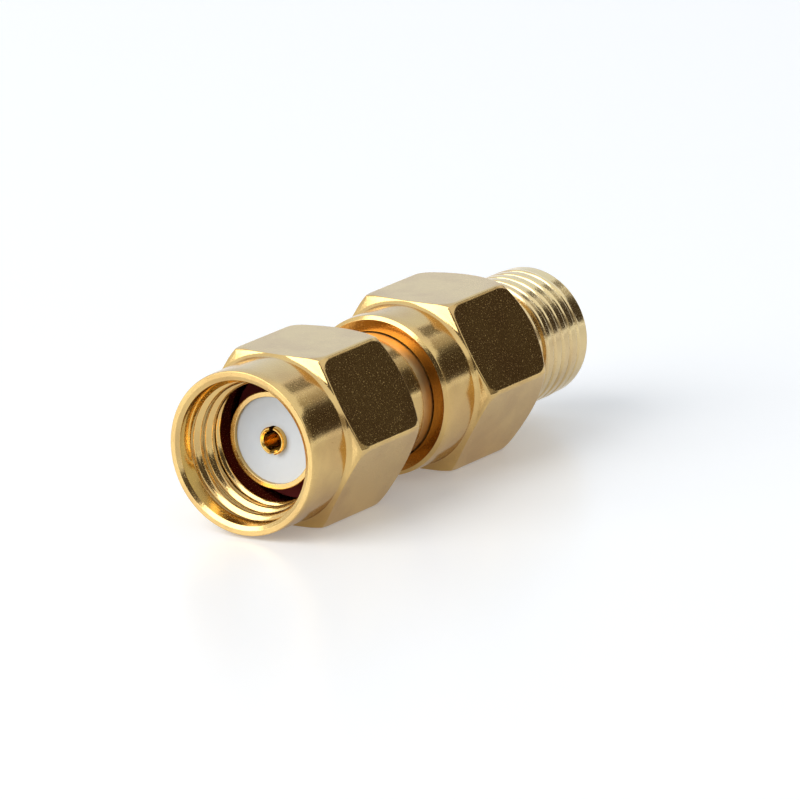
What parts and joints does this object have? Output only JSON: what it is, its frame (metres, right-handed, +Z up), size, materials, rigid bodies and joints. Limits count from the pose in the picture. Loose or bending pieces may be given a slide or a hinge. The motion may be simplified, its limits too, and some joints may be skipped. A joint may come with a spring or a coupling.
{
  "type": "coax adapter",
  "caption": "Gold-plated coaxial adapter: a free-turning hexagonal coupling nut at one end, a fixed hexagonal body and a threaded jack at the other, white insulator inside.",
  "frame": {"origin": "under the middle of the adapter's length, on the surface that its lower flats lie on", "axes": "+X along the connector axis towards the threaded jack, the coupling nut towards -X, +Z up"},
  "size_m": [0.0252, 0.0092, 0.008],
  "materials": {
    "nut_gold": "satin gold plating",
    "body_gold": "satin gold plating",
    "contact_gold": "gold plating",
    "ring_bronze": "spring bronze",
    "gasket_rubber": "dark red silicone",
    "insulator_white": "white fluoropolymer"
  },
  "bodies": {
    "adapter_body": {"plug_body": "body_gold", "jack_body": "body_gold", "retaining_ring": "ring_bronze", "gasket": "gasket_rubber", "front_insulator": "insulator_white", "rear_insulator": "insulator_white", "centre_contact": "contact_gold"},
    "nut": {"coupling_nut": "nut_gold"}
  },
  "joints": [
    {"name": "nut_spin", "type": "hinge", "parent": "adapter_body", "child": "nut", "pos_m": [-0.00834, 0, 0.004], "axis": [1, 0, 0], "continuous": true}
  ]
}
